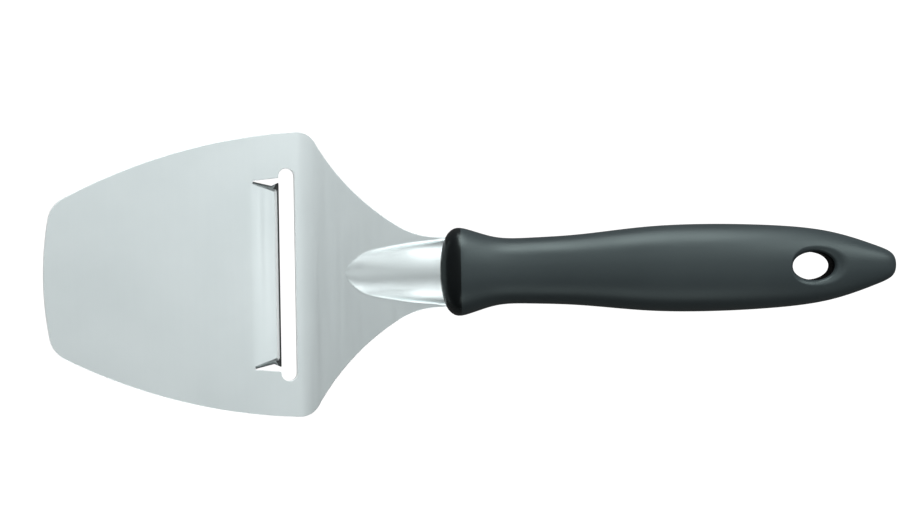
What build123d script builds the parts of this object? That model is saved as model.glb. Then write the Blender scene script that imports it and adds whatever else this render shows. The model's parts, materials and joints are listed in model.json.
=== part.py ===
from build123d import *
import math
import os

# A cheese slicer: one stamped and bent steel blade, moulded into a two-layer handle.
# It is drawn with its neck and handle along X, the handle at +X and the sheet's underside
# at z = 0 on the neck, and is laid on its table at the end. Lengths are in millimetres.

# Steel sheet
sheet = 1.2
overrun = 5.0

# Plate: the wide part that slides over the cheese, measured from the bend to the tip
plate_length = 71.2
plate_half_width = 40.15
flank_radius = 160.0
tip_half_width = 20.0
tip_radius = 90.0
tip_corner_radius = 8.0

# Bend between plate and neck
bend_angle = 20.0
bend_inner_radius = 17.5

# Slot that the slice comes up through, and the wider opening that the tongue leaves
slot_length = 59.8
slot_width = 4.6
slot_inset = 0.9
opening_root_width = 52.8
opening_front_width = 54.6

# Cutting tongue, hinged on the plate and bent down towards the cheese
tongue_root_width = 52.0
tongue_edge_width = 48.6
tongue_length = 8.0
tongue_angle = 9.5
tongue_gap = 3.85
bevel_length = 1.7
edge_land = 0.25

# Shoulders that draw the plate in to the neck
shoulder_corner_radius = 6.2
shoulder_corner_heading = 60.0
shoulder_heading = 31.9
throat_radius = 21.8
neck_taper = 3.0
neck_half_width = 9.98759

# Neck and its pressed rib
neck_length = 39.4
rib_start = 7.1
rib_half_width = 9.2
rib_height = 5.8
rib_shares = (
    # along, width, height
    (0.006, 0.10, 0.020),
    (0.020, 0.19, 0.045),
    (0.050, 0.325, 0.090),
    (0.100, 0.485, 0.170),
    (0.170, 0.625, 0.290),
    (0.260, 0.715, 0.420),
    (0.400, 0.800, 0.600),
    (0.600, 0.900, 0.800),
    (0.800, 0.965, 0.930),
    (1.000, 1.000, 1.000),
    (1.120, 0.920, 0.880),
    (1.280, 0.660, 0.500),
    (1.420, 0.360, 0.120),
)

# Handle: its front is the point nearest the blade, ahead of the widest ring of the collar
handle_length = 129.0
handle_width = 24.8
handle_height = 17.0
collar_depth = 5.8
handle_axis_height = 2.5
oval_power_share = 2.4
oval_points = 16
handle_shares = (
    # along, width, height
    (0.0025, 0.350, 0.550),
    (0.0095, 0.670, 0.730),
    (0.0200, 0.880, 0.855),
    (0.0340, 0.988, 0.955),
    (0.0455, 1.000, 1.000),
    (0.0590, 0.972, 0.988),
    (0.0880, 0.877, 0.925),
    (0.1320, 0.763, 0.840),
    (0.1980, 0.750, 0.800),
    (0.2780, 0.785, 0.820),
    (0.3520, 0.852, 0.870),
    (0.4610, 0.960, 0.940),
    (0.5900, 0.992, 0.965),
    (0.6990, 0.957, 0.900),
    (0.7880, 0.886, 0.770),
    (0.8540, 0.773, 0.650),
    (0.9090, 0.610, 0.520),
    (0.9520, 0.450, 0.390),
    (0.9840, 0.300, 0.260),
    (0.9970, 0.160, 0.140),
)

# Tang inside the handle
neck_buried = 5.0
tang_half_width = 6.6
tang_length_share = 0.48
tang_corner_radius = 5.0
tang_shoulder_radius = 2.0
lock_hole_radius = 2.3
lock_hole_spacing = 18.0

# Moulded core under the outer skin, from behind the collar to ahead of the hanging hole
skin = 2.6
core_start_share = 0.08
core_end_share = 0.71
core_end_radius = 1.2
core_window_length = 9.0
core_window_width = 4.0

# Hanging hole near the butt: a straight oval throat, scooped on top more towards the butt
hole_length = 11.9
hole_width = 7.8
hole_place_share = 0.81008
mouth_length = 15.6
mouth_width = 12.8
mouth_shift = 1.35
mouth_depth = 2.2
mouth_tilt = 7.0
mouth_level_share = 0.72
mouth_under_share = 0.35
mouth_shares = (
    # depth, growth
    (1.00, -0.06),
    (0.55, 0.10),
    (0.25, 0.42),
    (0.00, 1.00),
    (-0.25, 1.80),
)

# Places that follow from the sizes
bend_outer_radius = bend_inner_radius + sheet
turn = math.radians(bend_angle)
plate_x = -bend_outer_radius * math.sin(turn)
plate_z = bend_outer_radius * (1 - math.cos(turn))
plate_plane = Plane(
    origin=(plate_x, 0, plate_z),
    x_dir=(math.cos(turn), 0, -math.sin(turn)),
    z_dir=(math.sin(turn), 0, math.cos(turn)),
)
corner_cos = math.cos(math.radians(shoulder_corner_heading))
shoulder_cos = math.cos(math.radians(shoulder_heading))
neck_cos = math.cos(math.radians(neck_taper))
corner_fall = shoulder_corner_radius * (1 - corner_cos)
throat_fall = throat_radius * (neck_cos - shoulder_cos)
shoulder_fall = plate_half_width - neck_half_width - corner_fall - throat_fall
shoulder_radius = shoulder_fall / (shoulder_cos - corner_cos)
tip_corner_x = tip_radius - math.sqrt(tip_radius**2 - tip_half_width**2) - plate_length
slot_x = -slot_inset - slot_width / 2
tongue_run = tongue_length * math.cos(math.radians(tongue_angle))
root_x = -slot_inset - tongue_gap - tongue_run
tongue_plane = Plane(plate_plane.location * Location((root_x, 0, sheet), (0, tongue_angle, 0)))
rim_x = neck_length
front_x = rim_x - collar_depth
tang_length = handle_length * tang_length_share
tang_start = rim_x + neck_buried
tang_end = tang_start + tang_length
core_shares = [row for row in handle_shares if core_start_share < row[0] < core_end_share]
core_end = front_x + handle_length * core_shares[-1][0]
core_window_x = (tang_end + core_end) / 2
hole_x = front_x + handle_length * hole_place_share
mouth_level = handle_height * mouth_level_share / 2
mouth_turn = math.radians(mouth_tilt)


def handle_oval(width_share, height_share, inset=0):
    """Cross-section of the handle, flatter on its top and sides than an ellipse."""
    half_width = handle_width * width_share / 2 - inset
    half_height = handle_height * height_share / 2 - inset
    points = []
    for step in range(oval_points):
        angle = 2 * math.pi * step / oval_points
        across = math.copysign(abs(math.cos(angle)) ** (2 / oval_power_share), math.cos(angle))
        up = math.copysign(abs(math.sin(angle)) ** (2 / oval_power_share), math.sin(angle))
        points.append((half_width * across, half_height * up))
    return points


def handle_plane(share):
    """Plane across the handle at a share of its length, with Y across and Z up."""
    x = front_x + handle_length * share
    return Plane(origin=(x, 0, handle_axis_height), x_dir=(0, 1, 0), z_dir=(1, 0, 0))


def rib_plane(share):
    """Plane across the rib at a share of its way from its nose to the collar."""
    x = rib_start + (rim_x - rib_start) * share
    return Plane(origin=(x, 0, 0), x_dir=(0, 1, 0), z_dir=(1, 0, 0))


def mouth_plane(side, depth):
    """Plane along the handle's slope at a depth in the hanging hole's mouth, above or below."""
    return Plane(
        origin=(hole_x, 0, handle_axis_height + side * (mouth_level - depth)),
        x_dir=(math.cos(mouth_turn), 0, -side * math.sin(mouth_turn)),
        z_dir=(side * math.sin(mouth_turn), 0, math.cos(mouth_turn)),
    )


# Plate, flat, with its rounded tip
with BuildPart() as plate:
    with BuildSketch(plate_plane):
        with BuildLine():
            upper = RadiusArc((0, plate_half_width), (tip_corner_x, tip_half_width), -flank_radius)
            lower = RadiusArc((0, -plate_half_width), (tip_corner_x, -tip_half_width), flank_radius)
            RadiusArc(upper @ 1, lower @ 1, -tip_radius)
            Line(upper @ 0, lower @ 0)
        outline = make_face()
        fillet(outline.vertices().group_by(Axis.X)[0], tip_corner_radius)
    extrude(amount=sheet)

# Bend and neck as one bent strip, trimmed to the shoulders' outline
with BuildPart() as neck:
    with BuildSketch(Plane.XZ):
        with BuildLine():
            under = Line((tang_end, 0), (0, 0))
            outer = JernArc(under @ 1, under % 1, bend_outer_radius, -bend_angle)
            inner = JernArc((0, sheet), (-1, 0), bend_inner_radius, -bend_angle)
            Line(outer @ 1, inner @ 1)
            Line(inner @ 0, (tang_end, sheet))
            Line((tang_end, sheet), (tang_end, 0))
        make_face()
    extrude(amount=plate_half_width + overrun, both=True)
    with BuildSketch(Plane.XY) as neck_outline:
        with BuildLine():
            start = Line((plate_x - overrun, plate_half_width), (plate_x, plate_half_width))
            corner = JernArc(start @ 1, start % 1, shoulder_corner_radius, -shoulder_corner_heading)
            shoulder = JernArc(
                corner @ 1, corner % 1, shoulder_radius, shoulder_corner_heading - shoulder_heading
            )
            throat = JernArc(shoulder @ 1, shoulder % 1, throat_radius, shoulder_heading - neck_taper)
            fall = (tang_start - (throat @ 1).X) * math.tan(math.radians(neck_taper))
            side = Line(throat @ 1, (tang_start, (throat @ 1).Y - fall))
            Line(side @ 1, (tang_start, tang_half_width))
            Line((tang_start, tang_half_width), (tang_end, tang_half_width))
            Line((tang_end, tang_half_width), (tang_end, 0))
            Line((tang_end, 0), (plate_x - overrun, 0))
            Line((plate_x - overrun, 0), start @ 0)
        make_face()
        mirror(about=Plane.XZ)
        tang_ends = neck_outline.vertices().filter_by_position(Axis.X, tang_end - sheet, tang_end + sheet)
        fillet(tang_ends, tang_corner_radius)
        tang_roots = neck_outline.vertices().filter_by_position(
            Axis.X, tang_start - sheet / 2, tang_start + sheet / 2
        )
        tang_roots = tang_roots.filter_by_position(
            Axis.Y, -tang_half_width - sheet, tang_half_width + sheet
        )
        fillet(tang_roots, tang_shoulder_radius)
    extrude(amount=2 * handle_height, both=True, mode=Mode.INTERSECT)

# Pressed rib: the outside of the ridge, and the hollow under it
with BuildPart() as rib:
    for along, wide, high in rib_shares:
        with BuildSketch(rib_plane(along)):
            with BuildLine():
                arch = ThreePointArc(
                    (-rib_half_width * wide, sheet),
                    (0, sheet + rib_height * high),
                    (rib_half_width * wide, sheet),
                )
                Line(arch @ 1, arch @ 0)
            make_face()
    loft()

with BuildPart() as rib_hollow:
    for along, wide, high in rib_shares:
        with BuildSketch(rib_plane(along)):
            with BuildLine():
                arch = ThreePointArc(
                    ((sheet - rib_half_width) * wide, 0),
                    (0, rib_height * high),
                    ((rib_half_width - sheet) * wide, 0),
                )
                Line(arch @ 1, arch @ 0)
            make_face()
    loft()

# Cutting tongue, with its ground edge on top
with BuildPart() as tongue:
    with BuildSketch(tongue_plane):
        with BuildLine():
            Polyline(
                (0, -tongue_root_width / 2),
                (tongue_length, -tongue_edge_width / 2),
                (tongue_length, tongue_edge_width / 2),
                (0, tongue_root_width / 2),
                close=True,
            )
        make_face()
    extrude(amount=-sheet)
    front = tongue.faces().sort_by(Axis.X)[-1]
    top_edge = front.edges().sort_by(Axis.Z)[-1]
    chamfer(top_edge, length=sheet - edge_land, length2=bevel_length, reference=front)

# Blade: the whole stamping
with BuildPart() as blade:
    add(plate.part)
    add(neck.part)
    add(rib.part)
    add(rib_hollow.part, mode=Mode.SUBTRACT)
    with BuildSketch(plate_plane):
        with Locations((slot_x, 0)):
            SlotOverall(slot_length, slot_width, rotation=90)
        with BuildLine():
            Polyline(
                (root_x, -opening_root_width / 2),
                (slot_x, -opening_front_width / 2),
                (slot_x, opening_front_width / 2),
                (root_x, opening_root_width / 2),
                close=True,
            )
        make_face()
    extrude(amount=sheet, mode=Mode.SUBTRACT)
    add(tongue.part)
    with BuildSketch(Plane.XY):
        with Locations((tang_start + tang_length / 2, 0)):
            with GridLocations(lock_hole_spacing, 0, 2, 1):
                Circle(lock_hole_radius)
    extrude(amount=sheet, mode=Mode.SUBTRACT)

# Core: hard plastic moulded round the tang, which fills its holes
with BuildPart() as handle_core:
    for along, wide, high in core_shares:
        with BuildSketch(handle_plane(along)):
            with BuildLine():
                Spline(*handle_oval(wide, high, skin), periodic=True)
            make_face()
    loft()
    ends = handle_core.faces().sort_by(Axis.X)
    fillet(ends[0].edges() + ends[-1].edges(), core_end_radius)
    with BuildSketch(Plane.XY.offset(handle_axis_height)):
        with Locations((core_window_x, 0)):
            SlotOverall(core_window_length, core_window_width)
    extrude(amount=handle_height, both=True, mode=Mode.SUBTRACT)
    add(blade.part, mode=Mode.SUBTRACT)

# Hanging hole: the throat, and its mouths along the slope of the handle, wide above and small below
with BuildPart() as hanging_hole:
    for side, share in ((1, 1), (-1, mouth_under_share)):
        for depth, growth in mouth_shares:
            with BuildSketch(mouth_plane(side, mouth_depth * share * depth)):
                with Locations((mouth_shift * share * growth, 0)):
                    Ellipse(
                        (hole_length + (mouth_length - hole_length) * share * growth) / 2,
                        (hole_width + (mouth_width - hole_width) * share * growth) / 2,
                    )
        loft()
    with BuildSketch(Plane.XY.offset(handle_axis_height)):
        with Locations((hole_x, 0)):
            Ellipse(hole_length / 2, hole_width / 2)
    extrude(amount=handle_height, both=True)

# Grip: the outer skin, moulded round the core and the end of the neck
with BuildPart() as handle_grip:
    for along, wide, high in handle_shares:
        with BuildSketch(handle_plane(along)):
            with BuildLine():
                Spline(*handle_oval(wide, high), periodic=True)
            make_face()
    loft()
    add(hanging_hole.part, mode=Mode.SUBTRACT)
    add(handle_core.part, mode=Mode.SUBTRACT)
    add(blade.part, mode=Mode.SUBTRACT)

# Lay it on the table, on the underside of the bend and the lowest point of the collar
collar_bottom = handle_axis_height - handle_height / 2
reach = math.hypot(rim_x, bend_outer_radius - collar_bottom)
rest_tilt = math.degrees(
    math.atan2(bend_outer_radius - collar_bottom, rim_x) - math.asin(bend_outer_radius / reach)
)
tilted = Rot(0, -rest_tilt, 0)
blade.part = tilted * blade.part
handle_core.part = tilted * handle_core.part
handle_grip.part = tilted * handle_grip.part
box = Compound([blade.part, handle_grip.part]).bounding_box()
stand = Pos(-box.center().X, -box.center().Y, -box.min.Z)
blade.part = stand * blade.part
handle_core.part = stand * handle_core.part
handle_grip.part = stand * handle_grip.part

os.makedirs("parts", exist_ok=True)
blade.part.label = "blade"
export_step(blade.part, "parts/blade.step")
handle_core.part.label = "handle_core"
export_step(handle_core.part, "parts/handle_core.step")
handle_grip.part.label = "handle_grip"
export_step(handle_grip.part, "parts/handle_grip.step")
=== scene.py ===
import json
import math

import bpy
import numpy as np
from mathutils import Matrix, Vector
from mathutils.geometry import delaunay_2d_cdt


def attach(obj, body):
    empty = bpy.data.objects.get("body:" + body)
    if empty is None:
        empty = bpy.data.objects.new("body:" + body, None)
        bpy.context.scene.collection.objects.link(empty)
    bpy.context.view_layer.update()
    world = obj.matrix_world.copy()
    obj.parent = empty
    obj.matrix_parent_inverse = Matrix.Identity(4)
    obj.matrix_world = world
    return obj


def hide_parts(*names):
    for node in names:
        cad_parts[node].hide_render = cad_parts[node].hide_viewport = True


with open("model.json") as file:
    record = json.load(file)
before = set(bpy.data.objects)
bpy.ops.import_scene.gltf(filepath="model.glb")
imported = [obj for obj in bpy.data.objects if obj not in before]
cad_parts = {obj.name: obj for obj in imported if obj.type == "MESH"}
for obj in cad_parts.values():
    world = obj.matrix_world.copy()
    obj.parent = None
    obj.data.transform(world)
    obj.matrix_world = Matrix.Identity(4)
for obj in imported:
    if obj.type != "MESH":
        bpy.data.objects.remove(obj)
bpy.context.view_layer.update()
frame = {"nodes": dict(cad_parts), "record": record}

# A cheese slicer: a bent and pressed steel blade in a moulded handle. Its meshes are drawn in
# millimetres, with the neck and handle along X and the neck's underside at z = 0, and are then
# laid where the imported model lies.

MM = 0.001

# Sheet, plate and bend
sheet = 1.2
plate_length = 71.2
plate_half_width = 40.15
flank_radius = 160.0
tip_half_width = 20.0
tip_radius = 90.0
tip_corner_radius = 8.0
bend_angle = math.radians(20.0)
bend_radius = 18.7
bend_run = bend_radius * bend_angle
bend_x = -bend_radius * math.sin(bend_angle)
bend_z = bend_radius * (1 - math.cos(bend_angle))

# Slot, and the cutting tongue with the opening that it leaves
slot_half_length = 29.9
slot_left = -5.5
slot_right = -0.9
slot_end_radius = 2.25
flare_half_width = 27.2
flare_corner_radius = 0.28
notch_half_width = 26.4
tongue_angle = math.radians(9.5)
tongue_length = 8.0
tongue_root = -12.64
fold_run = 0.6
fold_start = tongue_root - fold_run / 2
tongue_reach = tongue_length + fold_run / 2
bevel_length = 1.7
edge_land = 0.25
tongue_top_sides = (25.6, 24.0, 23.4)
tongue_under_sides = (26.35, 25.1, 26.0)
tongue_side_stops = (0.0, 0.75, 1.0)
tongue_side_points = 9
tongue_front_points = 56

# Shoulders, neck and tang
shoulder_corner_radius = 6.2
shoulder_radius = 68.2
throat_radius = 21.8
corner_heading = 60.0
shoulder_heading = 31.9
neck_taper = 3.0
neck_length = 39.4
tang_start = 44.4
tang_end = 106.32
tang_half_width = 6.6
tang_corner_radius = 5.0
tang_shoulder_radius = 2.0
neck_end_radius = 0.6
lock_hole_radius = 2.3
lock_holes = (66.36, 84.36)
lock_hole_points = 32

# Pressed rib: how far along from its nose to the collar, then its width and height
rib_start = 7.1
rib_half_width = 9.2
rib_height = 5.8
rib_foot = 0.5
rib_shares = np.array((
    (0.000, 0.00, 0.000),
    (0.006, 0.10, 0.020),
    (0.020, 0.19, 0.045),
    (0.050, 0.325, 0.090),
    (0.100, 0.485, 0.170),
    (0.170, 0.625, 0.290),
    (0.260, 0.715, 0.420),
    (0.400, 0.800, 0.600),
    (0.600, 0.900, 0.800),
    (0.800, 0.965, 0.930),
    (1.000, 1.000, 1.000),
    (1.120, 0.920, 0.880),
    (1.280, 0.660, 0.500),
    (1.420, 0.300, 0.100),
    (1.500, 0.000, 0.000),
))

# Handle: how far along from its front to its butt, then its width and height
handle_length = 129.0
handle_width = 24.8
handle_height = 17.0
handle_front = 33.6
handle_axis = 2.5
oval_power = 2.4
handle_shares = np.array((
    (0.0000, 0.000, 0.000),
    (0.0025, 0.350, 0.550),
    (0.0070, 0.570, 0.680),
    (0.0140, 0.780, 0.790),
    (0.0230, 0.915, 0.880),
    (0.0340, 0.988, 0.955),
    (0.0455, 1.000, 1.000),
    (0.0590, 0.972, 0.988),
    (0.0880, 0.877, 0.925),
    (0.1320, 0.763, 0.840),
    (0.1980, 0.750, 0.800),
    (0.2780, 0.785, 0.820),
    (0.3520, 0.852, 0.870),
    (0.4610, 0.960, 0.940),
    (0.5900, 0.992, 0.965),
    (0.6990, 0.957, 0.900),
    (0.7880, 0.886, 0.770),
    (0.8540, 0.773, 0.650),
    (0.9090, 0.610, 0.520),
    (0.9520, 0.450, 0.390),
    (0.9820, 0.310, 0.268),
    (0.9935, 0.180, 0.155),
    (0.9970, 0.000, 0.000),
))

# Hanging hole: a straight throat, and mouths that lie along the slope of the handle
hole_x = 138.1
hole_size = np.array((11.9, 7.8)) / 2
mouth_size = np.array((15.6, 12.8)) / 2
mouth_shift = 1.35
mouth_depth = 2.2
mouth_turn = math.radians(7.0)
mouth_level = 6.12
mouth_under = 0.35
mouth_rim = 0.35
bore_reach = 1.03
mouth_shares = np.array((
    # growth, depth
    (-0.06, 1.00),
    (0.10, 0.55),
    (0.42, 0.25),
    (1.00, 0.00),
    (1.80, -0.25),
))

# The drawing's frame in the row frame, from the hanging hole, whose axis is square to the handle
mounts = {m["name"]: m for m in frame["record"]["mounts"]}
up = Vector(mounts["hang_hole"]["axis"]).normalized()
along = Vector((up.z, 0, -up.x))
across = Vector((0, 1, 0))
origin = Vector(mounts["hang_hole"]["pos_m"]) - hole_x * MM * along - handle_axis * MM * up
turned = np.array(Matrix((along, across, up)))


def lay(points):
    """Points of the drawing, in mm, to the row frame, in metres."""
    return np.asarray(points, float) @ turned * MM + np.array(origin)


def mesh_piece(name, points, faces, slot, *nodes):
    """A smooth mesh of points in the drawing, which stands for the nodes that it replaces."""
    mesh = bpy.data.meshes.new(name)
    mesh.from_pydata([tuple(p) for p in lay(points)], [], [tuple(map(int, f)) for f in faces])
    mesh.validate()
    mesh.shade_smooth()
    piece = bpy.data.objects.new(name, mesh)
    bpy.context.scene.collection.objects.link(piece)
    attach(piece, "root")
    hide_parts(*nodes)
    return piece


# Flat outlines


class Pen:
    """Draws lines and arcs that leave each other on one heading, in degrees."""

    def __init__(self, x, y, heading):
        self.points = [(x, y)]
        self.heading = math.radians(heading)

    def arc(self, radius, turn, step=0.8):
        """Turns left by a positive angle and right by a negative one."""
        turn = math.radians(turn)
        side = math.copysign(radius, turn)
        x, y = self.points[-1]
        cx = x - side * math.sin(self.heading)
        cy = y + side * math.cos(self.heading)
        count = max(5, math.ceil(abs(turn) * radius / step))
        for i in range(1, count + 1):
            angle = self.heading + turn * i / count
            self.points.append((cx + side * math.sin(angle), cy - side * math.cos(angle)))
        self.heading += turn

    def line(self, length, step=0.8):
        x, y = self.points[-1]
        count = max(1, math.ceil(length / step))
        for i in range(1, count + 1):
            run = length * i / count
            self.points.append((x + run * math.cos(self.heading), y + run * math.sin(self.heading)))


def rounded(corners, radii, step=0.8, arc_step=0.4):
    """An open run of straight lines whose corners are rounded, each by its own radius."""
    corners = [np.array(c, float) for c in corners]
    parts = [[corners[0]]]
    for before, corner, after, radius in zip(corners, corners[1:], corners[2:], radii[1:]):
        a = (before - corner) / np.linalg.norm(before - corner)
        b = (after - corner) / np.linalg.norm(after - corner)
        half = math.acos(np.clip(a @ b, -1, 1)) / 2
        centre = corner + (a + b) / np.linalg.norm(a + b) * radius / math.sin(half)
        start = corner + a * radius / math.tan(half) - centre
        sweep = math.copysign(math.pi - 2 * half, -(a[0] * b[1] - a[1] * b[0]))
        count = max(4, math.ceil(abs(sweep) * radius / arc_step))
        arc = []
        for i in range(count + 1):
            c, s = math.cos(sweep * i / count), math.sin(sweep * i / count)
            arc.append(centre + (start[0] * c - start[1] * s, start[0] * s + start[1] * c))
        parts.append(arc)
    parts.append([corners[-1]])
    points = []
    for part, following in zip(parts, parts[1:]):
        points += part
        run = following[0] - part[-1]
        count = max(1, math.ceil(np.linalg.norm(run) / step))
        points += [part[-1] + run * i / count for i in range(1, count)]
    points.append(corners[-1])
    return distinct(points)


def distinct(points):
    """The points without those that lie on the one before."""
    kept = [np.array(points[0], float)]
    for p in points[1:]:
        if math.dist(p, kept[-1]) > 0.01:
            kept.append(np.array(p, float))
    return np.array(kept)


def right_normals(points, closed):
    """Unit normals to the right of the way along a line of points."""
    before = np.roll(points, 1, axis=0)
    after = np.roll(points, -1, axis=0)
    if not closed:
        before[0] = points[0]
        after[-1] = points[-1]
    way_in = points - before
    way_out = after - points
    total = np.zeros_like(points)
    for way in (way_in, way_out):
        length = np.linalg.norm(way, axis=1)[:, None]
        total += np.where(length > 0, way / np.where(length > 0, length, 1), 0)
    total /= np.linalg.norm(total, axis=1)[:, None]
    return np.stack((total[:, 1], -total[:, 0]), axis=1)


def inside(points, loop):
    """Which points lie inside a closed loop."""
    x, y = np.asarray(points)[:, 0:1], np.asarray(points)[:, 1:2]
    x0, y0 = loop[:, 0], loop[:, 1]
    x1, y1 = np.roll(x0, -1), np.roll(y0, -1)
    spans = (y0 > y) != (y1 > y)
    with np.errstate(divide="ignore", invalid="ignore"):
        cross = x0 + (y - y0) / (y1 - y0) * (x1 - x0)
    return (np.sum(spans & (x < cross), axis=1) % 2).astype(bool)


def clear_of(points, loops, gap):
    """Those points that keep a gap from every loop, given as closely spaced points."""
    fence = np.concatenate(loops)
    keep = np.ones(len(points), bool)
    batch = 2000
    for start in range(0, len(points), batch):
        part = points[start:start + batch]
        near = np.min(np.sum((part[:, None] - fence[None]) ** 2, axis=2), axis=1)
        keep[start:start + batch] = near > gap**2
    return points[keep]


def triangles(loops, scattered):
    """Triangles between an outer loop and its holes, over their points and scattered ones."""
    points = np.concatenate(loops + [scattered])
    edges = []
    first = 0
    for loop in loops:
        count = len(loop)
        edges += [(first + i, first + (i + 1) % count) for i in range(count)]
        first += count
    out = delaunay_2d_cdt([Vector(p) for p in points], edges, [], 0, 1e-7, True)
    source = np.array([ids[0] if ids else -1 for ids in out[3]])
    faces = source[np.array([f for f in out[2] if len(f) == 3])]
    faces = faces[(faces >= 0).all(axis=1)]
    centres = points[faces].mean(axis=1)
    keep = inside(centres, loops[0])
    for hole in loops[1:]:
        keep &= ~inside(centres, hole)
    faces = faces[keep]
    a, b, c = points[faces[:, 0]], points[faces[:, 1]], points[faces[:, 2]]
    area = (b[:, 0] - a[:, 0]) * (c[:, 1] - a[:, 1]) - (b[:, 1] - a[:, 1]) * (c[:, 0] - a[:, 0])
    faces[area < 0] = faces[area < 0][:, ::-1]
    return faces


def spline(knots, values, at):
    """A natural cubic spline through values at knots."""
    knots, values = np.asarray(knots, float), np.asarray(values, float)
    count = len(knots)
    h = np.diff(knots)
    matrix = np.eye(count)
    side = np.zeros_like(values)
    slopes = np.diff(values, axis=0) / (h[:, None] if values.ndim > 1 else h)
    for i in range(1, count - 1):
        matrix[i, i - 1] = h[i - 1]
        matrix[i, i] = 2 * (h[i - 1] + h[i])
        matrix[i, i + 1] = h[i]
        side[i] = 6 * (slopes[i] - slopes[i - 1])
    bend = np.linalg.solve(matrix, side)
    at = np.asarray(at, float)
    i = np.clip(np.searchsorted(knots, at) - 1, 0, count - 2)
    a = knots[i + 1] - at
    b = at - knots[i]
    w = h[i]
    if values.ndim > 1:
        a, b, w = a[:, None], b[:, None], w[:, None]
    return (
        (bend[i] * a**3 + bend[i + 1] * b**3) / (6 * w)
        + (values[i] / w - bend[i] * w / 6) * a
        + (values[i + 1] / w - bend[i + 1] * w / 6) * b
    )


# Blade outline, in the flattened sheet: u runs from the tip to the tang, and is 0 at the bend


def flattened(x):
    """Where a place along the bend or neck lies in the flattened sheet."""
    bent = bend_radius * (bend_angle - np.arcsin(np.clip(-x / bend_radius, -1, 1)))
    return np.where(x < 0, bent, bend_run + x)


def blade_outline():
    """The blade's outline, clockwise from the middle of its tip."""
    tip_drop = tip_radius - math.sqrt(tip_radius**2 - tip_half_width**2)
    tip_centre = np.array((tip_radius - plate_length, 0))
    corner = np.array((tip_drop - plate_length, tip_half_width))
    shoulder = np.array((0, plate_half_width))
    half = (shoulder - corner) / 2
    right = np.array((half[1], -half[0])) / np.linalg.norm(half)
    flank_centre = corner + half + right * math.sqrt(flank_radius**2 - half @ half)
    near_tip = tip_radius - tip_corner_radius
    near_flank = flank_radius - tip_corner_radius
    gap = flank_centre - tip_centre
    distance = np.linalg.norm(gap)
    gap = gap / distance
    foot = (near_tip**2 - near_flank**2 + distance**2) / (2 * distance)
    rise = math.sqrt(near_tip**2 - foot**2)
    centres = [tip_centre + gap * foot + s * rise * np.array((-gap[1], gap[0])) for s in (-1, 1)]
    centre = min(centres, key=lambda c: np.linalg.norm(c - corner))
    from_tip = math.degrees(math.atan2(centre[1] - tip_centre[1], tip_centre[0] - centre[0]))
    from_flank = math.degrees(math.atan2(*(centre - flank_centre)))
    to_shoulder = math.degrees(math.atan2(*(shoulder - flank_centre)))
    pen = Pen(-plate_length, 0, 90)
    pen.arc(tip_radius, -from_tip)
    pen.arc(tip_corner_radius, -(90 - from_tip + from_flank), 0.5)
    pen.arc(flank_radius, -(to_shoulder - from_flank))
    plate = pen.points[:-1]
    pen = Pen(bend_x, plate_half_width, 0)
    pen.arc(shoulder_corner_radius, -corner_heading, 0.4)
    pen.arc(shoulder_radius, corner_heading - shoulder_heading)
    pen.arc(throat_radius, shoulder_heading - neck_taper, 0.6)
    slant = math.radians(neck_taper)
    reach = tang_start - neck_end_radius * (1 - math.sin(slant)) - pen.points[-1][0]
    pen.line(reach / math.cos(slant))
    pen.arc(neck_end_radius, neck_taper - 90)
    pen.line(pen.points[-1][1] - tang_half_width - tang_shoulder_radius)
    pen.arc(tang_shoulder_radius, 90)
    pen.line(tang_end - tang_start - tang_shoulder_radius - tang_corner_radius, 1.6)
    pen.arc(tang_corner_radius, -90)
    pen.line(tang_half_width - tang_corner_radius)
    neck = np.array(pen.points)
    neck[:, 0] = flattened(neck[:, 0])
    upper = distinct(plate + [tuple(p) for p in neck])
    lower = upper[1:-1][::-1] * (1, -1)
    return np.concatenate((upper, lower))


# Rings round each edge of the sheet, from its top face over the edge to its underside: how far
# into the metal and how high above the underside
edge_rings = np.array((
    (0.22, sheet),
    (0.15, sheet),
    (0.075, sheet - 0.02),
    (0.02, sheet - 0.075),
    (0.0, sheet - 0.15),
    (0.0, 0.15),
    (0.02, 0.075),
    (0.075, 0.02),
    (0.15, 0.0),
    (0.22, 0.0),
))
ring_count = len(edge_rings)

# The same rings on the tongue: height, share of the way out to its lower sides, extra side
# inset, and how far its front stands back from the cutting edge
tongue_rings = np.array((
    (sheet, 0.0, 0.20, bevel_length + 0.25),
    (sheet, 0.0, 0.10, bevel_length + 0.10),
    (sheet - 0.02, 0.0, 0.03, bevel_length),
    (0.92, 0.27, 0.0, bevel_length * 0.70),
    (0.65, 0.50, 0.0, bevel_length * 0.42),
    (edge_land, 0.85, 0.0, 0.0),
    (0.12, 0.97, 0.0, 0.0),
    (0.03, 1.0, 0.0, 0.03),
    (0.0, 1.0, 0.06, 0.12),
    (0.0, 1.0, 0.20, 0.30),
))

outline = blade_outline()
outline_in = right_normals(outline, True)
opening_run = rounded(
    (
        (fold_start, -notch_half_width),
        (slot_left, -flare_half_width),
        (slot_left, -slot_half_length),
        (slot_right, -slot_half_length),
        (slot_right, slot_half_length),
        (slot_left, slot_half_length),
        (slot_left, flare_half_width),
        (fold_start, notch_half_width),
    ),
    (0, flare_corner_radius, *[slot_end_radius] * 4, flare_corner_radius, 0),
)
opening_in = right_normals(opening_run, False)
opening_in[0] = (-1, -1)
opening_in[-1] = (-1, 1)
turns = np.linspace(0, 2 * math.pi, lock_hole_points, endpoint=False)
circle = np.stack((np.cos(turns), np.sin(turns)), axis=1)


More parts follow.
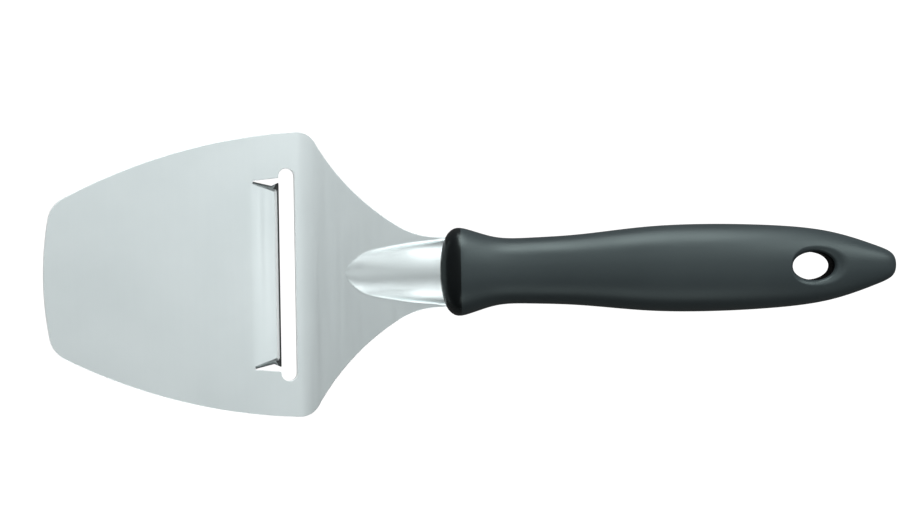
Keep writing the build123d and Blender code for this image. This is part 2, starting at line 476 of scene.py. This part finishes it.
def tongue_run(ring):
    """The tongue's edge on one ring: one side from its root, its front, and the other side."""
    out, inset, back = tongue_rings[ring][1:]
    stops = np.linspace(0, 1, tongue_side_points)
    top = np.interp(stops, tongue_side_stops, tongue_top_sides)
    under = np.interp(stops, tongue_side_stops, tongue_under_sides)
    v = top + (under - top) * out - inset
    root = -edge_rings[ring][0]
    u = fold_start + root + (tongue_reach - back - root) * stops
    side = np.stack((u, v), axis=1)
    across_front = np.linspace(v[-1], -v[-1], tongue_front_points + 2)[1:-1]
    front = np.stack((np.full(tongue_front_points, u[-1]), across_front), axis=1)
    return np.concatenate((side, front, side[::-1] * (1, -1)))


def loop_on_ring(ring):
    """The blade's loops on one ring: the outline, the opening with the tongue, the lock holes."""
    depth = edge_rings[ring][0]
    loops = [outline + outline_in * depth]
    loops.append(np.concatenate((opening_run + opening_in * depth, tongue_run(ring))))
    for x in lock_holes:
        loops.append(np.array((bend_run + x, 0)) + circle * (lock_hole_radius + depth))
    return loops


def rib_size(x):
    """Half width and height of the pressed rib at places along the neck."""
    run = (x - rib_start) / (neck_length - rib_start)
    where = np.sqrt(np.clip(run, 0, rib_shares[-1, 0]))
    sizes = spline(np.sqrt(rib_shares[:, 0]), rib_shares[:, 1:], np.ravel(where))
    sizes = np.clip(sizes, 0, None) * (rib_half_width, rib_height)
    sizes[np.ravel(run) <= 0] = 0
    return sizes[:, 0], sizes[:, 1]


def rib_rise(x, y, wall):
    """How far the rib lifts the sheet: its top with no wall, its hollow underside with one."""
    half, high = rib_size(x)
    half = half * (1 - wall / rib_half_width)
    ok = (half > 0.05) & (high > 0.005)
    half = np.where(ok, half, 1)
    high = np.where(ok, high, 0.005)
    radius = (half**2 + high**2) / (2 * high)
    arch = np.sqrt(np.clip(radius**2 - y**2, 0, None)) - (radius - high)
    blend = rib_foot * np.clip(high / rib_height, 0.02, 1)
    soft = np.clip(blend - np.abs(arch), 0, None) / blend
    rise = np.maximum(arch, 0) + soft**2 * blend / 4
    return np.where(ok, rise, 0)


plate_along = np.array((math.cos(bend_angle), 0, -math.sin(bend_angle)))
plate_up = np.array((math.sin(bend_angle), 0, math.cos(bend_angle)))
plate_origin = np.array((bend_x, 0, bend_z))


def sheet_points(uv, height, on_tongue, top):
    """Places in the flattened sheet, at a height above its underside, to the drawing's frame."""
    u, v = uv[:, 0].copy(), uv[:, 1]
    w = np.broadcast_to(height, u.shape).astype(float).copy()
    run = np.where(on_tongue, np.clip(u - fold_start, 0, None), 0)
    fold_radius = fold_run / tongue_angle
    turn = np.clip(run / fold_radius, 0, tongue_angle)
    ring = fold_radius + w - sheet
    rest = np.clip(run - fold_run, 0, None)
    folded_u = fold_start + ring * np.sin(turn) + rest * np.cos(turn)
    folded_w = sheet - fold_radius + ring * np.cos(turn) - rest * np.sin(turn)
    u = np.where(run > 0, folded_u, u)
    w = np.where(run > 0, folded_w, w)
    flat = plate_origin + u[:, None] * plate_along + w[:, None] * plate_up
    angle = bend_angle * (1 - u / bend_run)
    bent = np.stack((
        -(bend_radius - w) * np.sin(angle),
        np.zeros_like(u),
        bend_radius - (bend_radius - w) * np.cos(angle),
    ), axis=1)
    x = u - bend_run
    rise = rib_rise(x, v, 0.0 if top else sheet)
    neck = np.stack((x, np.zeros_like(u), w + rise), axis=1)
    points = np.where((u <= 0)[:, None], flat, np.where((u < bend_run)[:, None], bent, neck))
    points[:, 1] = v
    return points


# Spacing of the points inside the blade's loops
plate_step = 1.5
bend_step = 1.3
bend_rows = 14
flat_step = 1.2
rib_step = 0.55
row_share = 0.87
loop_gap = 0.3


def scatter(low, high, step, row=None):
    """Evenly spread points in a rectangle, each row set half a step from the last."""
    row = row or step * row_share
    rows = []
    for i, u in enumerate(np.arange(low[0], high[0], row)):
        v = np.arange(low[1] + (i % 2) * step / 2, high[1], step)
        rows.append(np.stack((np.full(len(v), u), v), axis=1))
    return np.concatenate(rows)


def rib_points(rib_from, rib_to):
    """Rows of points across the pressed rib and its feet, which close up towards its nose."""
    stations = rib_from + np.concatenate((
        (-0.5, -0.3, -0.12, 0.02, 0.1, 0.22),
        np.linspace(0.4, 3.2, 12),
        np.arange(3.7, rib_to - rib_from - 0.5, rib_step),
    ))
    rows = []
    for u in stations:
        half = max(rib_size(np.array([u - bend_run]))[0][0], 0.4)
        swing = np.linspace(-1, 1, 2 * math.ceil(half * 1.6 + 2) + 1) * math.pi / 2
        shares = np.concatenate((np.sin(swing), (-1.05, 1.05)))
        v = np.concatenate((half * shares, (half + 0.5, -half - 0.5, half + 0.9, -half - 0.9)))
        rows.append(np.stack((np.full(len(v), u), v), axis=1))
    return np.concatenate(rows)


def blade_spread(loops):
    """The points inside the blade's loops: on its plate, its bend, its neck's flats and the rib."""
    side = plate_half_width
    rib_from = bend_run + rib_start
    rib_to = rib_from + rib_shares[-1, 0] * (neck_length - rib_start)
    plate = scatter((-plate_length, -side), (-0.4, side), plate_step)
    bend = scatter((0, -side), (bend_run, side), bend_step, bend_run / bend_rows)
    flats = scatter((bend_run + 0.6, -side), (bend_run + tang_end, side), flat_step)
    x = flats[:, 0] - bend_run
    by_rib = (x > rib_start - 0.6) & (x < rib_to - bend_run + 0.3)
    kept_off = np.where(by_rib, rib_size(x)[0] + 1.4, -1)
    flats = flats[np.abs(flats[:, 1]) > kept_off]
    spread = np.concatenate((plate, bend, flats, rib_points(rib_from, rib_to)))
    keep = inside(spread, loops[0])
    for hole in loops[1:]:
        keep &= ~inside(spread, hole)
    return clear_of(spread[keep], loops, loop_gap)


# The blade's wall materials, in the order of its materials, and the bands between its rings that
# have
# them: the sheared edges and the bevel are painted pale as a painted highlight, the cutting edge
# and its corners are painted dark as a painted dark reflection
satin, painted_dark, painted_pale = range(3)
sheared_bands = range(2, 7)
bevel_bands = range(2, 4)
cutting_bands = range(4, 5)
corner_bands = range(3, 6)


def wall_material(place, band):
    """The material of a band at a place along the tongue's edge, or below 0 on another edge: satin
    steel, a painted dark reflection, or a painted highlight.
    """
    corner = tongue_side_points - 1
    far_corner = tongue_side_points + tongue_front_points
    on_front = corner <= place < far_corner
    by_corner = place in (corner - 1, corner, far_corner - 1, far_corner)
    if by_corner and band in corner_bands or on_front and band in cutting_bands:
        return painted_dark
    if on_front and band in bevel_bands or place < 0 and band in sheared_bands:
        return painted_pale
    return satin


def make_blade():
    """The blade's points, its faces, the walls round its edges, and each wall's material, of which
    the dark and pale ones are painted light.
    """
    top_loops = loop_on_ring(0)
    spread = blade_spread(top_loops)
    faces = triangles(top_loops, spread)
    loop_sizes = [len(loop) for loop in top_loops]
    ring_size = sum(loop_sizes)
    plain_opening = len(opening_run)
    on_tongue = np.zeros(ring_size, bool)
    on_tongue[loop_sizes[0] + plain_opening:loop_sizes[0] + loop_sizes[1]] = True
    parts = []
    for ring in range(ring_count):
        uv = np.concatenate(loop_on_ring(ring))
        height = np.where(on_tongue, tongue_rings[ring][0], edge_rings[ring][1])
        parts.append(sheet_points(uv, height, on_tongue, ring < ring_count // 2))
    u, v = spread.T
    over_tongue = (u > fold_start) & (u < slot_right) & (np.abs(v) < notch_half_width)
    parts.append(sheet_points(spread, sheet, over_tongue, True))
    parts.append(sheet_points(spread, 0.0, over_tongue, False))
    last = ring_size * (ring_count - 1)
    first_top = ring_size * ring_count
    first_under = first_top + len(spread)
    top_faces = np.where(faces < ring_size, faces, faces - ring_size + first_top)
    under_faces = np.where(faces < ring_size, faces + last, faces - ring_size + first_under)
    walls = []
    wall_materials = []
    first = 0
    for number, count in enumerate(loop_sizes):
        for ring in range(ring_count - 1):
            for i in range(count):
                a = first + i + ring * ring_size
                b = first + (i + 1) % count + ring * ring_size
                walls.append((a, b, b + ring_size, a + ring_size))
                wall_materials.append(wall_material(i - plain_opening if number == 1 else -1, ring))
        first += count
    faces = top_faces.tolist() + under_faces[:, ::-1].tolist()
    return np.concatenate(parts), faces, walls, wall_materials


# Handle

profile_points = 6000


def handle_profile():
    """The handle's stations: distance from its front, half width and half height."""
    sizes = handle_shares * (handle_length, handle_width / 2, handle_height / 2)
    mirrored = (1, -1, -1)
    sizes = np.concatenate((sizes[2:0:-1] * mirrored, sizes, sizes[-2:-4:-1] * mirrored))
    steps = np.linalg.norm(np.diff(sizes, axis=0), axis=1)
    knots = np.concatenate(((0,), np.cumsum(np.sqrt(steps))))
    fine = spline(knots, sizes, np.linspace(knots[2], knots[-3], profile_points))
    fine[:, 1:] = np.clip(fine[:, 1:], 0, None)
    fine[:, 0] = np.clip(np.maximum.accumulate(fine[:, 0]), 0, handle_length)
    run = np.concatenate(((0,), np.cumsum(np.linalg.norm(np.diff(fine, axis=0), axis=1))))
    return run, fine


profile_run, profile = handle_profile()


def oval(half_width, half_height, y):
    """Height of the handle's section over its middle at a distance across."""
    share = np.clip(np.abs(y) / np.maximum(half_width, 1e-6), 0, 1)
    return half_height * (1 - share**oval_power) ** (1 / oval_power)


def station(run):
    """Distance from the front, half width and half height, at runs along the handle's profile."""
    return np.stack([np.interp(run, profile_run, profile[:, i]) for i in range(3)], axis=1)


def mouth_ring(growth, share):
    """A ring of the hanging hole's mouth, which is a share of the upper one."""
    depth = spline(mouth_shares[:, 0], mouth_shares[:, 1], [growth])[0]
    size = hole_size + (mouth_size - hole_size) * growth * share
    turns = np.linspace(0, 2 * math.pi, ring_points, endpoint=False)
    run = mouth_shift * growth * share + size[0] * np.cos(turns)
    x = hole_x + run * math.cos(mouth_turn)
    z = mouth_level - mouth_depth * share * depth - run * math.sin(mouth_turn)
    return np.stack((x, size[1] * np.sin(turns), z), axis=1)


# The skin is unrolled flat to find its triangles: how far along it, and the turn round its axis
skin_spread = 9.0
skin_edge = math.pi / 2 * skin_spread
collar_run = 14.0
butt_run = profile_run[-1] - 12
end_gap = 0.12
grip_runs = np.concatenate((
    np.linspace(end_gap, collar_run, 56),
    np.linspace(collar_run, butt_run, 118)[1:],
    np.linspace(butt_run, profile_run[-1] - end_gap, 34)[1:],
))
grip_tilts = np.linspace(-skin_edge, skin_edge, 45)
mouth_gap = 0.35
ring_points = 96


def grip_half(share, widest):
    """Half of the grip's skin, with a mouth that is a share of the hanging hole's upper one."""
    grid = np.array([(run, tilt) for run in grip_runs for tilt in grip_tilts])
    left = [(run, -skin_edge) for run in grip_runs]
    right = [(run, skin_edge) for run in grip_runs]
    front = [(grip_runs[0], tilt) for tilt in grip_tilts[1:-1]]
    back = [(grip_runs[-1], tilt) for tilt in grip_tilts[1:-1]]
    border = np.array(left + back + right[::-1] + front[::-1])
    growths = np.concatenate((
        np.linspace(widest, 1.0, 6), np.linspace(0.92, 0.16, 14), (0.10, 0.06, 0.03, 0.0)
    ))
    rings = [mouth_ring(growth, share) for growth in growths]
    run = np.interp(rings[0][:, 0] - handle_front, profile[:, 0], profile_run)
    turn = np.arcsin(np.clip(rings[0][:, 1] / station(run)[:, 1], -1, 1)) * skin_spread
    mouth = np.stack((run, turn), axis=1)
    on_border = (
        np.isclose(grid[:, 0], grip_runs[0])
        | np.isclose(grid[:, 0], grip_runs[-1])
        | np.isclose(np.abs(grid[:, 1]), skin_edge)
    )
    loose = clear_of(grid[~inside(grid, mouth) & ~on_border], [mouth], mouth_gap)
    faces = triangles([border, mouth], loose).tolist()
    flat = np.concatenate((border, mouth, loose))
    where = station(flat[:, 0])
    y = where[:, 1] * np.sin(flat[:, 1] / skin_spread)
    z = oval(where[:, 1], where[:, 2], y)
    z[np.isclose(np.abs(flat[:, 1]), skin_edge)] = 0
    parts = [np.stack((where[:, 0] + handle_front, y, z), axis=1)]
    rim = mouth_rim * share
    for ring in rings[1:]:
        at = station(np.interp(ring[:, 0] - handle_front, profile[:, 0], profile_run))
        outer = oval(at[:, 1], at[:, 2], ring[:, 1])
        soft = np.clip(rim - np.abs(outer - ring[:, 2]), 0, None) / rim
        height = np.minimum(outer, ring[:, 2]) - soft**2 * rim / 4
        parts.append(np.column_stack((ring[:, :2], height)))
    starts = [len(border)] + [len(flat) + i * ring_points for i in range(len(rings) - 1)]
    return np.concatenate(parts), faces + ring_faces(starts), starts[-1]


def ring_faces(starts):
    """Faces between rings of points, given where each ring starts."""
    faces = []
    for a, b in zip(starts, starts[1:]):
        for i in range(ring_points):
            j = (i + 1) % ring_points
            faces.append((a + i, a + j, b + j, b + i))
    return faces


def make_grip():
    """The grip's points and faces: its two halves, the hole's throat and its closed ends."""
    upper, upper_faces, upper_ring = grip_half(share=1.0, widest=1.6)
    lower, lower_faces, lower_ring = grip_half(share=mouth_under, widest=2.2)
    lower = lower * (1, 1, -1)
    rows = len(grip_runs)
    columns = len(grip_tilts)
    border_size = 2 * rows + 2 * columns - 4
    # The halves meet along the sides and share those points.
    index = np.arange(len(lower)) + len(upper)
    seam = np.flatnonzero(np.isclose(lower[:border_size, 2], 0))
    index[seam] = seam
    faces = upper_faces + [tuple(index[v] for v in reversed(f)) for f in lower_faces]
    top = upper[upper_ring:upper_ring + ring_points]
    foot = lower[lower_ring:lower_ring + ring_points]
    throat = [top + (foot - top) * share for share in (0.25, 0.5, 0.75)]
    first = len(upper) + len(lower)
    starts = [upper_ring] + [first + i * ring_points for i in range(3)] + [index[lower_ring]]
    faces += ring_faces(starts)
    # Its two ends close on a point.
    ends = np.array(((handle_front, 0, 0), (handle_front + profile[-1, 0], 0, 0)), float)
    points = np.concatenate([upper, lower] + throat + [ends])
    tips = (len(points) - 2, len(points) - 1)
    inner = list(range(border_size - 1, border_size - 1 - (columns - 2), -1))
    front_row = [0] + inner + [2 * rows + columns - 3]
    back_row = [rows - 1] + [rows + i for i in range(columns - 2)] + [rows + columns - 2]
    for row, tip, flip in ((front_row, tips[0], True), (back_row, tips[1], False)):
        for a, b in zip(row, row[1:]):
            upper_face = (a, b, tip) if flip else (b, a, tip)
            faces.append(upper_face)
            faces.append(tuple(v if v in tips else index[v] for v in reversed(upper_face)))
    used = np.unique([v for f in faces for v in f])
    renumber = np.full(len(points), -1)
    renumber[used] = np.arange(len(used))
    points = points[used] + (0, 0, handle_axis)
    return points, [tuple(renumber[v] for v in f) for f in faces]


# Materials


def new_material(name):
    """A material with a plain surface shader, its node tree and that shader."""
    material = bpy.data.materials.new(name)
    material.use_nodes = True
    tree = material.node_tree
    tree.nodes.clear()
    out = tree.nodes.new("ShaderNodeOutputMaterial")
    shader = tree.nodes.new("ShaderNodeBsdfPrincipled")
    tree.links.new(shader.outputs["BSDF"], out.inputs["Surface"])
    return material, tree, shader


def noise(tree, scale, detail, stretch=(1, 1, 1)):
    """Noise in waves to a metre, drawn out along the axes that have a small stretch."""
    place = tree.nodes.new("ShaderNodeTexCoord")
    lie = tree.nodes.new("ShaderNodeMapping")
    lie.inputs["Scale"].default_value = stretch
    wave = tree.nodes.new("ShaderNodeTexNoise")
    wave.inputs["Scale"].default_value = scale
    wave.inputs["Detail"].default_value = detail
    tree.links.new(place.outputs["Object"], lie.inputs["Vector"])
    tree.links.new(lie.outputs["Vector"], wave.inputs["Vector"])
    return wave.outputs["Fac"]


def ramp(tree, value, low, high):
    """Spreads a value of 0.3 to 0.7 between two numbers."""
    node = tree.nodes.new("ShaderNodeMapRange")
    node.inputs["From Min"].default_value = 0.3
    node.inputs["From Max"].default_value = 0.7
    node.inputs["To Min"].default_value = low
    node.inputs["To Max"].default_value = high
    tree.links.new(value, node.inputs["Value"])
    return node.outputs["Result"]


def tint(tree, value, dark, light):
    """Spreads the same value between two colours."""
    node = tree.nodes.new("ShaderNodeMix")
    node.data_type = "RGBA"
    node.inputs["A"].default_value = (*dark, 1)
    node.inputs["B"].default_value = (*light, 1)
    tree.links.new(ramp(tree, value, 0, 1), node.inputs["Factor"])
    return node.outputs["Result"]


def bump(tree, shader, height, depth, under=None):
    """Bumps a surface by a height, on top of the bumps under it."""
    node = tree.nodes.new("ShaderNodeBump")
    node.inputs["Distance"].default_value = depth
    tree.links.new(height, node.inputs["Height"])
    if under:
        tree.links.new(under, node.inputs["Normal"])
    tree.links.new(node.outputs["Normal"], shader.inputs["Normal"])
    return node.outputs["Normal"]


def steel(name, dark, light, smooth, rough, metallic=1.0):
    """Satin stainless steel, brushed across the blade."""
    material, tree, shader = new_material(name)
    shader.inputs["Metallic"].default_value = metallic
    lines = noise(tree, 900, 3, (1, 0.03, 1))
    cloud = noise(tree, 45, 3)
    tree.links.new(tint(tree, cloud, dark, light), shader.inputs["Base Color"])
    tree.links.new(ramp(tree, lines, smooth, rough), shader.inputs["Roughness"])
    brushed = bump(tree, shader, lines, 0.000004)
    bump(tree, shader, cloud, 0.00002, brushed)
    return material


def plastic(name, dark, light, smooth, rough, grain, shine=0.5):
    """Moulded plastic with a fine grain, whose depth is in metres."""
    material, tree, shader = new_material(name)
    speck = noise(tree, 2600, 2)
    cloud = noise(tree, 60, 2)
    tree.links.new(tint(tree, cloud, dark, light), shader.inputs["Base Color"])
    tree.links.new(ramp(tree, cloud, smooth, rough), shader.inputs["Roughness"])
    shader.inputs["Specular IOR Level"].default_value = shine
    shader.inputs["Specular Tint"].default_value = (0.82, 1.0, 0.98, 1)
    bump(tree, shader, speck, grain)
    return material


blade_steel = steel("satin_steel", (0.61, 0.678, 0.684), (0.65, 0.718, 0.724), 0.36, 0.42)
# Painted dark reflection: near-black steel on the cutting edge and the tongue's corners.
edge_painted_dark = steel("edge_painted_dark_reflection", (0.16, 0.17, 0.17), (0.24, 0.25, 0.25), 0.30, 0.38)
# Painted highlight: pale, less metallic steel on the bevel and the sheared edges.
bevel_painted_highlight = steel("bevel_painted_highlight_steel", (0.88, 0.93, 0.93), (0.94, 0.98, 0.98), 0.50, 0.60, 0.35)
soft_plastic = plastic(
    "soft_dark_plastic", (0.052, 0.068, 0.073), (0.057, 0.074, 0.079), 0.36, 0.41, 0.00001
)
# Painted shade: near-black plastic on the collar's front, which faces away from the lamps.
collar_painted_shade = plastic(
    "collar_painted_shade_plastic", (0.008, 0.010, 0.011), (0.012, 0.014, 0.015), 0.26, 0.32, 0.000004
)
# Painted shade: darker, duller plastic on the hanging hole's bore, where shade falls.
bore_painted_shade = plastic(
    "bore_painted_shade_plastic", (0.004, 0.005, 0.006), (0.007, 0.008, 0.009), 0.55, 0.65, 0.00001, 0.04
)
hard_plastic = plastic(
    "hard_black_plastic", (0.012, 0.012, 0.012), (0.02, 0.02, 0.02), 0.35, 0.45, 0.000005
)

# Pieces

blade_points, blade_faces, blade_walls, blade_wall_materials = make_blade()
blade = mesh_piece("steel_blade", blade_points, blade_faces + blade_walls, "blade_steel", "blade")
for material in (blade_steel, edge_painted_dark, bevel_painted_highlight):
    blade.data.materials.append(material)
for polygon in blade.data.polygons:
    number = polygon.index - len(blade_faces)
    if number >= 0:
        polygon.material_index = blade_wall_materials[number]
grip_points, grip_faces = make_grip()
grip = mesh_piece("soft_grip", grip_points, grip_faces, "grip_plastic", "handle_grip")
for material in (soft_plastic, collar_painted_shade, bore_painted_shade):
    grip.data.materials.append(material)
collar_index, bore_index = 1, 2
# The collar's front and the hole's bore take the darker plastics, which are painted shade.
for polygon, corners in zip(grip.data.polygons, grip_faces):
    middle = np.mean([grip_points[v] for v in corners], axis=0)
    from_hole = np.linalg.norm((middle[:2] - (hole_x, 0)) / hole_size)
    if middle[0] < neck_length:
        polygon.material_index = collar_index
    elif from_hole < bore_reach:
        polygon.material_index = bore_index
core = frame["nodes"]["handle_core"]
core.data.materials.clear()
core.data.materials.append(hard_plastic)

# Floor

floor_size = 6.0
floor_drop = 0.0002
floor_grey = 0.12
floor_mesh = bpy.data.meshes.new("floor")
signs = ((-1, -1), (1, -1), (1, 1), (-1, 1))
floor_corners = [(x * floor_size, y * floor_size, 0) for x, y in signs]
floor_mesh.from_pydata(floor_corners, [], [(0, 1, 2, 3)])
floor = bpy.data.objects.new("floor", floor_mesh)
bpy.context.scene.collection.objects.link(floor)
floor.location.z = -floor_drop
floor_white, tree, shader = new_material("floor_white")
shader.inputs["Base Color"].default_value = (floor_grey, floor_grey, floor_grey, 1)
shader.inputs["Roughness"].default_value = 0.9
shader.inputs["Specular IOR Level"].default_value = 0.0
shader.inputs["Emission Color"].default_value = (1, 1, 1, 1)
# The camera sees it white, but it lights nothing.
ray = tree.nodes.new("ShaderNodeLightPath")
tree.links.new(ray.outputs["Is Camera Ray"], shader.inputs["Emission Strength"])
floor_mesh.materials.append(floor_white)

# Camera, square to the handle's axis, over the middle of the slicer

camera_x, camera_y = 38.17, 3.47
camera_height = 550.0
camera_lens = 77.16
camera_roll = math.radians(0.98)
camera_data = bpy.data.cameras.new("camera")
camera = bpy.data.objects.new("camera", camera_data)
bpy.context.scene.collection.objects.link(camera)
bpy.context.scene.camera = camera
camera_data.sensor_width = 36.0
camera_data.lens = camera_lens
camera_data.clip_start = 0.01
right_way = along * math.cos(camera_roll) - across * math.sin(camera_roll)
up_way = across * math.cos(camera_roll) + along * math.sin(camera_roll)
facing = Matrix((right_way, up_way, up)).transposed().to_4x4()
camera_place = Vector(lay([(camera_x, camera_y, handle_axis + camera_height)])[0])
camera.matrix_world = Matrix.Translation(camera_place) @ facing

# Light

world_level = 0.04
world = bpy.data.worlds.new("world")
bpy.context.scene.world = world
world.use_nodes = True
sky = world.node_tree.nodes["Background"]
sky.inputs["Color"].default_value = (1, 1, 1, 1)
sky.inputs["Strength"].default_value = world_level

# Square softboxes stand round the slicer and are aimed at it. One set lights the steel and the
# floor, and the other lights the dark handle.
softbox_size = 0.7
softbox_distance = 1.6
softbox_watts = 0.785
softboxes = (
    # set, azimuth, then the elevation and level of each softbox
    ("steel", 0, (25, 2.6), (50, 3.2), (70, 1.4)),
    ("steel", 45, (50, 3.4)),
    ("steel", 90, (8, 5.0), (20, 6.0), (33, 6.0), (45, 4.2), (58, 0.8), (75, 2.6)),
    ("steel", 135, (20, 4.0), (50, 2.1)),
    ("steel", 180, (12, 2.5), (40, 2.0), (65, 1.3)),
    ("steel", 225, (20, 6.0), (50, 0.9)),
    ("steel", 270, (8, 8.0), (25, 5.3), (45, 4.6), (60, 0.9)),
    ("handle", 45, (50, 9.5)),
    ("handle", 90, (8, 8.0), (33, 14.5), (75, 2.2)),
    ("handle", 270, (45, 2.8)),
)
lit = {}
for name, pieces in (("steel", (blade, floor)), ("handle", (grip, core))):
    lit[name] = bpy.data.collections.new(name + "_lit")
    for piece in pieces:
        lit[name].objects.link(piece)


def softbox(name, azimuth, elevation, level):
    light = bpy.data.lights.new(f"{name}_{azimuth}_{elevation}", "AREA")
    light.shape = "SQUARE"
    light.size = softbox_size
    light.energy = level * softbox_watts
    lamp = bpy.data.objects.new(light.name, light)
    bpy.context.scene.collection.objects.link(lamp)
    turn, rise = math.radians(azimuth), math.radians(elevation)
    way = Vector((math.cos(rise) * math.cos(turn), math.cos(rise) * math.sin(turn), math.sin(rise)))
    lamp.location = way * softbox_distance
    lamp.rotation_euler = (-way).to_track_quat("-Z", "Y").to_euler()
    lamp.light_linking.receiver_collection = lit[name]


for name, azimuth, *lamps in softboxes:
    for elevation, level in lamps:
        softbox(name, azimuth, elevation, level)

bpy.context.scene.view_settings.view_transform = "Standard"
